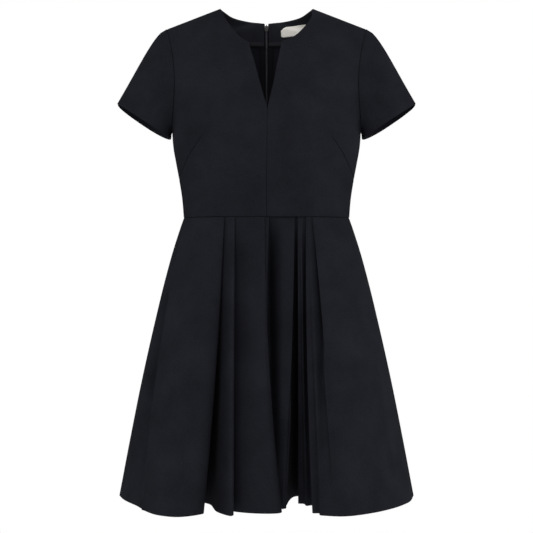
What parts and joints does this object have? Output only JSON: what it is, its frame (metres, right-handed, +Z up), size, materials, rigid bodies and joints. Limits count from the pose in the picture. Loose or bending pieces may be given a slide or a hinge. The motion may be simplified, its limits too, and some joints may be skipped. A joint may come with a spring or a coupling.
{
  "type": "a-line dress",
  "caption": "Short-sleeved A-line dress with a slit V neck and a pleated, flared skirt, filled out as when worn and hollow inside.",
  "frame": {"origin": "midway between the middles of the two shoulder seams, in the empty space where the wearer's shoulders carry the dress", "axes": "+X to the wearer's left, -Y out of the front of the dress, +Z up"},
  "size_m": [0.5516, 0.436, 0.9009],
  "materials": {
    "crepe": "near-black navy crepe, smooth and matt with a faint sheen",
    "facing": "near-black facing cloth, matt",
    "tape": "black woven zip tape",
    "coil": "dark grey nylon coil",
    "metal": "grey lacquered metal",
    "label": "cream woven label, bare"
  },
  "bodies": {
    "dress": {"bodice_front_left": "crepe", "bodice_front_right": "crepe", "bodice_back_left": "crepe", "bodice_back_right": "crepe", "sleeve_left": "crepe", "sleeve_right": "crepe", "skirt_front_left": "crepe", "skirt_front_right": "crepe", "skirt_back_left": "crepe", "skirt_back_right": "crepe", "facing_left": "facing", "facing_right": "facing", "label": "label", "zip_tape_left": "tape", "zip_tape_right": "tape", "zip_coil": "coil", "zip_slider": "metal"},
    "zip_pull": {"zip_pull": "metal"}
  },
  "joints": [
    {"name": "zip_pull_swing", "type": "hinge", "parent": "dress", "child": "zip_pull", "pos_m": [0, 0.0673, -0.0046], "axis": [1, 0, 0], "range_deg": [0, 150]}
  ]
}
